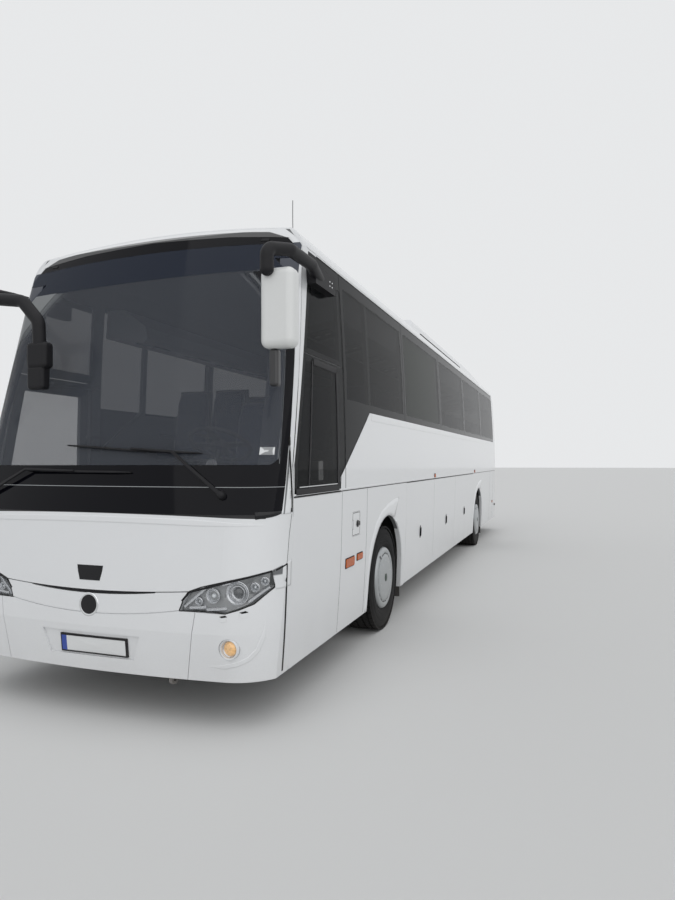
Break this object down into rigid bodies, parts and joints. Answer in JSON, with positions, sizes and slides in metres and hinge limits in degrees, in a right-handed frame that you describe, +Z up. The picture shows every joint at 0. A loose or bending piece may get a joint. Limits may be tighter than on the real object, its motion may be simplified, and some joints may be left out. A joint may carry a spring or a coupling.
{
  "type": "coach bus",
  "caption": "High-floor touring coach with panoramic windscreen, flush side glazing, swan-neck mirrors, lifting luggage flaps, outward-swinging doors and steered front wheels.",
  "frame": {"origin": "on the ground, under the middle of the coach's overall box", "axes": "+Z up; the coach faces -Y; +X towards the driver's side"},
  "size_m": [2.878, 13.0496, 3.6399],
  "materials": {
    "white_paint": "gloss",
    "grey_metal": "satin",
    "tinted_glass": "polished",
    "clear_glass": "polished",
    "black_plastic": "matte",
    "lamp_lens": "polished",
    "red_lens": "gloss",
    "wheel_silver": "satin",
    "tyre_rubber": "matte",
    "cast_steel": "matte",
    "floor_board": "matte",
    "seat_cloth": "matte",
    "trim_plastic": "matte"
  },
  "bodies": {
    "coach_body": {"left_wall": "white_paint", "right_wall": "white_paint", "left_glass": "tinted_glass", "right_glass": "tinted_glass", "front_panel": "white_paint", "windscreen": "clear_glass", "front_bumper": "white_paint", "front_lamps": "lamp_lens", "roof": "white_paint", "roof_unit": "white_paint", "rear_panel": "white_paint", "rear_bumper": "white_paint", "rear_window": "tinted_glass", "rear_lamps": "red_lens", "passenger_floor": "floor_board", "door_steps": "floor_board", "luggage_floor": "grey_metal", "wheel_housings": "grey_metal", "chassis_frame": "grey_metal", "hinge_brackets": "grey_metal", "front_axle": "cast_steel", "rear_axle": "cast_steel", "engine": "cast_steel", "seats": "seat_cloth", "parcel_racks": "trim_plastic", "dashboard": "black_plastic", "mirror_arms": "black_plastic", "mirror_heads": "white_paint"},
    "steering_wheel": {"steering_wheel": "black_plastic"},
    "engine_lid": {"engine_lid": "white_paint"},
    "service_flap": {"service_flap": "white_paint"},
    "knuckle_left": {"knuckle_left": "cast_steel"},
    "front_wheel_left": {"front_wheel_left": "wheel_silver", "front_tyre_left": "tyre_rubber"},
    "rear_wheels_left": {"rear_wheels_left": "wheel_silver", "rear_tyres_left": "tyre_rubber"},
    "knuckle_right": {"knuckle_right": "cast_steel"},
    "front_wheel_right": {"front_wheel_right": "wheel_silver", "front_tyre_right": "tyre_rubber"},
    "rear_wheels_right": {"rear_wheels_right": "wheel_silver", "rear_tyres_right": "tyre_rubber"},
    "luggage_flap_left_1": {"luggage_flap_left_1": "white_paint"},
    "luggage_arms_left_1": {"luggage_arms_left_1": "grey_metal"},
    "luggage_flap_left_2": {"luggage_flap_left_2": "white_paint"},
    "luggage_arms_left_2": {"luggage_arms_left_2": "grey_metal"},
    "luggage_flap_left_3": {"luggage_flap_left_3": "white_paint"},
    "luggage_arms_left_3": {"luggage_arms_left_3": "grey_metal"},
    "luggage_flap_right_1": {"luggage_flap_right_1": "white_paint"},
    "luggage_arms_right_1": {"luggage_arms_right_1": "grey_metal"},
    "luggage_flap_right_2": {"luggage_flap_right_2": "white_paint"},
    "luggage_arms_right_2": {"luggage_arms_right_2": "grey_metal"},
    "front_door_leaf": {"front_door_leaf": "white_paint", "front_door_glass": "tinted_glass"},
    "front_door_arms": {"front_door_arms": "grey_metal"},
    "mid_door_leaf": {"mid_door_leaf": "white_paint", "mid_door_glass": "tinted_glass"},
    "mid_door_arms": {"mid_door_arms": "grey_metal"}
  },
  "joints": [
    {"name": "steer_left", "type": "hinge", "parent": "coach_body", "child": "knuckle_left", "pos_m": [0.905, -3.695, 0.511], "axis": [0, 0, 1], "range_deg": [-45, 45]},
    {"name": "roll_front_left", "type": "hinge", "parent": "knuckle_left", "child": "front_wheel_left", "pos_m": [1.081, -3.695, 0.511], "axis": [1, 0, 0], "continuous": true},
    {"name": "roll_rear_left", "type": "hinge", "parent": "coach_body", "child": "rear_wheels_left", "pos_m": [0.916, 3.155, 0.511], "axis": [1, 0, 0], "continuous": true},
    {"name": "steer_right", "type": "hinge", "parent": "coach_body", "child": "knuckle_right", "pos_m": [-0.905, -3.695, 0.511], "axis": [0, 0, 1], "range_deg": [-45, 45]},
    {"name": "roll_front_right", "type": "hinge", "parent": "knuckle_right", "child": "front_wheel_right", "pos_m": [-1.081, -3.695, 0.511], "axis": [1, 0, 0], "continuous": true},
    {"name": "roll_rear_right", "type": "hinge", "parent": "coach_body", "child": "rear_wheels_right", "pos_m": [-0.916, 3.155, 0.511], "axis": [1, 0, 0], "continuous": true},
    {"name": "steering_wheel_turn", "type": "hinge", "parent": "coach_body", "child": "steering_wheel", "pos_m": [0.56, -5.775, 1.8], "axis": [0, 0.5, 0.866], "range_deg": [-720, 720]},
    {"name": "luggage_arms_left_1_lift", "type": "hinge", "parent": "coach_body", "child": "luggage_arms_left_1", "pos_m": [1.18, -2.116, 1.225], "axis": [0, -1, 0], "range_deg": [0, 164.78]},
    {"name": "luggage_flap_left_1_level", "type": "hinge", "parent": "luggage_arms_left_1", "child": "luggage_flap_left_1", "pos_m": [1.18, -2.116, 0.745], "axis": [0, -1, 0], "range_deg": [-164.78, 0]},
    {"name": "luggage_arms_left_2_lift", "type": "hinge", "parent": "coach_body", "child": "luggage_arms_left_2", "pos_m": [1.18, -0.4805, 1.225], "axis": [0, -1, 0], "range_deg": [0, 164.78]},
    {"name": "luggage_flap_left_2_level", "type": "hinge", "parent": "luggage_arms_left_2", "child": "luggage_flap_left_2", "pos_m": [1.18, -0.4805, 0.745], "axis": [0, -1, 0], "range_deg": [-164.78, 0]},
    {"name": "luggage_arms_left_3_lift", "type": "hinge", "parent": "coach_body", "child": "luggage_arms_left_3", "pos_m": [1.18, 1.3755, 1.225], "axis": [0, -1, 0], "range_deg": [0, 164.78]},
    {"name": "luggage_flap_left_3_level", "type": "hinge", "parent": "luggage_arms_left_3", "child": "luggage_flap_left_3", "pos_m": [1.18, 1.3755, 0.745], "axis": [0, -1, 0], "range_deg": [-164.78, 0]},
    {"name": "luggage_arms_right_1_lift", "type": "hinge", "parent": "coach_body", "child": "luggage_arms_right_1", "pos_m": [-1.18, -2.116, 1.225], "axis": [0, 1, 0], "range_deg": [0, 164.78]},
    {"name": "luggage_flap_right_1_level", "type": "hinge", "parent": "luggage_arms_right_1", "child": "luggage_flap_right_1", "pos_m": [-1.18, -2.116, 0.745], "axis": [0, 1, 0], "range_deg": [-164.78, 0]},
    {"name": "luggage_arms_right_2_lift", "type": "hinge", "parent": "coach_body", "child": "luggage_arms_right_2", "pos_m": [-1.18, -0.4805, 1.225], "axis": [0, 1, 0], "range_deg": [0, 164.78]},
    {"name": "luggage_flap_right_2_level", "type": "hinge", "parent": "luggage_arms_right_2", "child": "luggage_flap_right_2", "pos_m": [-1.18, -0.4805, 0.745], "axis": [0, 1, 0], "range_deg": [-164.78, 0]},
    {"name": "front_door_swing", "type": "hinge", "parent": "coach_body", "child": "front_door_arms", "pos_m": [-1.168, -5.142, 1.4], "axis": [0, 0, -1], "range_deg": [0, 164.02]},
    {"name": "front_door_parallel", "type": "hinge", "parent": "front_door_arms", "child": "front_door_leaf", "pos_m": [-1.168, -5.607, 1.4], "axis": [0, 0, -1], "range_deg": [-164.02, 0]},
    {"name": "mid_door_swing", "type": "hinge", "parent": "coach_body", "child": "mid_door_arms", "pos_m": [-1.168, 1.553, 1.4], "axis": [0, 0, -1], "range_deg": [0, 164.02]},
    {"name": "mid_door_parallel", "type": "hinge", "parent": "mid_door_arms", "child": "mid_door_leaf", "pos_m": [-1.168, 1.088, 1.4], "axis": [0, 0, -1], "range_deg": [-164.02, 0]},
    {"name": "engine_lid_lift", "type": "hinge", "parent": "coach_body", "child": "engine_lid", "pos_m": [0, 6.4885, 1.563], "axis": [1, 0, 0], "range_deg": [0, 85]},
    {"name": "service_flap_swing", "type": "hinge", "parent": "coach_body", "child": "service_flap", "pos_m": [1.2725, -4.8205, 1.1425], "axis": [0, 0, -1], "range_deg": [0, 110]}
  ],
  "couplings": [
    {"joint": "steer_right", "follows": "steer_left", "ratio": 1},
    {"joint": "steering_wheel_turn", "follows": "steer_left", "ratio": 16},
    {"joint": "luggage_flap_left_1_level", "follows": "luggage_arms_left_1_lift", "ratio": -1},
    {"joint": "luggage_flap_left_2_level", "follows": "luggage_arms_left_2_lift", "ratio": -1},
    {"joint": "luggage_flap_left_3_level", "follows": "luggage_arms_left_3_lift", "ratio": -1},
    {"joint": "luggage_flap_right_1_level", "follows": "luggage_arms_right_1_lift", "ratio": -1},
    {"joint": "luggage_flap_right_2_level", "follows": "luggage_arms_right_2_lift", "ratio": -1},
    {"joint": "front_door_parallel", "follows": "front_door_swing", "ratio": -1},
    {"joint": "mid_door_parallel", "follows": "mid_door_swing", "ratio": -1}
  ]
}
